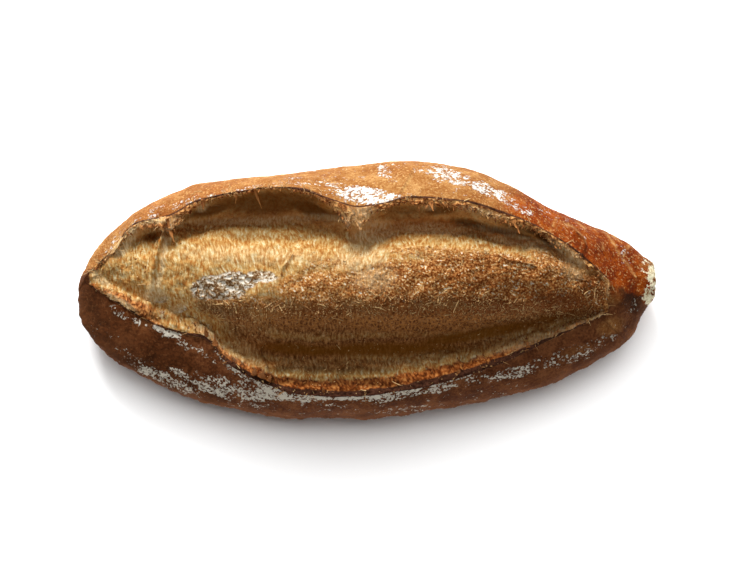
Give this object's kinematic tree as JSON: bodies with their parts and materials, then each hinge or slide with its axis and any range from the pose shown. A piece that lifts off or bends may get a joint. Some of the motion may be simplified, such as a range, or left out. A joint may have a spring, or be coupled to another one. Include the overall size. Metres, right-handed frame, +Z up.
{
  "type": "pain de campagne",
  "caption": "Long country loaf on a flat base, torn open along its top by one score, with a raised crust ear over the swollen crumb.",
  "frame": {"origin": "under the middle of the loaf, on the plane of its flat base", "axes": "+X along the loaf from its blunt end to its sharper end, +Y across it to the side of the raised ear, +Z up from the base"},
  "size_m": [0.2906, 0.1288, 0.0808],
  "materials": {
    "crust": "baked bread crust, golden to dark brown, matt, dusted with flour, with rough torn crumb in the split"
  },
  "bodies": {
    "root": {"loaf": "crust"}
  },
  "joints": []
}
